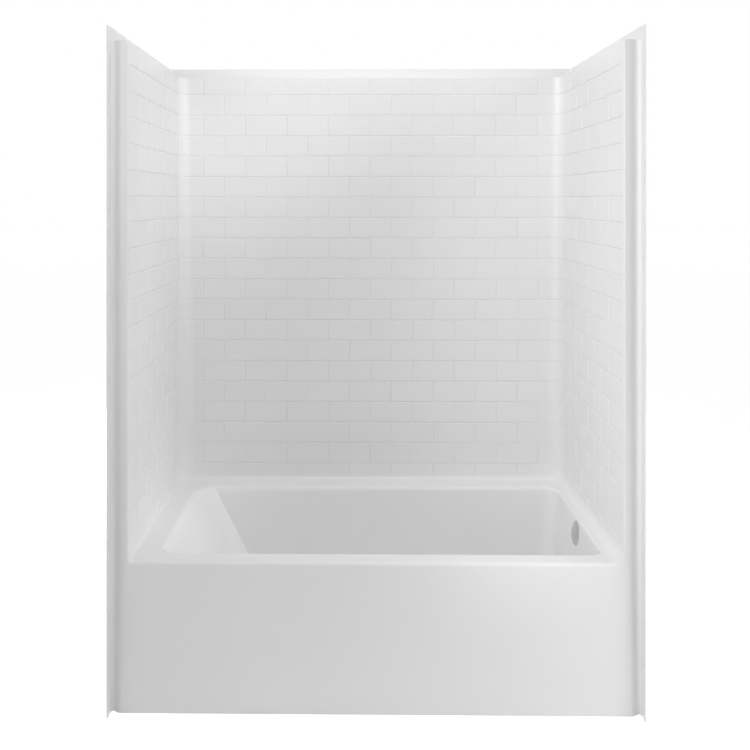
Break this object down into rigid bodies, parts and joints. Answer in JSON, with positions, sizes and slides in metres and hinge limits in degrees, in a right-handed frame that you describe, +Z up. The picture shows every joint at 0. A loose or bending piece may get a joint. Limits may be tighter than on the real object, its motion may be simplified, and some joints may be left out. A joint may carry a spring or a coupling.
{
  "type": "tub and shower unit",
  "caption": "One-piece tub and shower alcove unit: tile-patterned walls on a skirted bathtub with a sloped backrest, domed overflow cap and toe-touch drain.",
  "frame": {"origin": "centre of the unit's outline on the floor", "axes": "+Z up, -Y to the open front and the apron, +X to the drain and overflow end"},
  "size_m": [1.524, 0.85, 1.966],
  "materials": {
    "gelcoat": "white gelcoat on glass-fibre laminate, glossy",
    "plywood": "bare plywood",
    "timber": "bare sawn softwood",
    "foam": "rigid polyurethane foam",
    "chrome": "polished chrome plate",
    "brass": "turned brass",
    "steel": "stainless steel",
    "rubber": "black rubber",
    "pipe": "moulded white PVC",
    "nut": "moulded white polypropylene",
    "washer": "moulded polyethylene"
  },
  "bodies": {
    "root": {"shell": "gelcoat", "back_panel": "plywood", "left_panel": "plywood", "right_panel": "plywood", "bedding_core": "foam", "base_board": "plywood", "bearer_left": "timber", "bearer_mid": "timber", "bearer_right": "timber", "apron_rail": "timber", "apron_rib_1": "timber", "apron_rib_2": "timber", "apron_rib_3": "timber", "apron_rib_4": "timber", "rear_rail": "timber", "rear_leg_left": "timber", "rear_leg_right": "timber", "left_rail": "timber", "left_leg": "timber", "right_post_front": "timber", "right_post_rear": "timber", "strainer": "chrome", "drain_gasket": "rubber", "waste_shoe": "pipe", "shoe_tube": "pipe", "toe_barrel": "brass", "toe_spring": "steel", "overflow_cap": "chrome", "overflow_retainer": "steel", "overflow_screws": "steel", "overflow_gasket": "rubber", "overflow_elbow": "pipe", "drop_pipe": "pipe", "waste_tee": "pipe", "slip_nuts": "nut", "slip_washers": "washer", "outlet_tube": "pipe"},
    "stopper": {"toe_plunger": "brass", "stopper_cap": "chrome", "cap_seal": "rubber"}
  },
  "joints": [
    {"name": "toe_press", "type": "slide", "parent": "root", "child": "stopper", "axis": [0, 0, 1], "range_m": [-0.009, 0], "stiffness_N_per_m": 400, "springref_m": 0.02, "deforming": ["toe_spring"]}
  ]
}
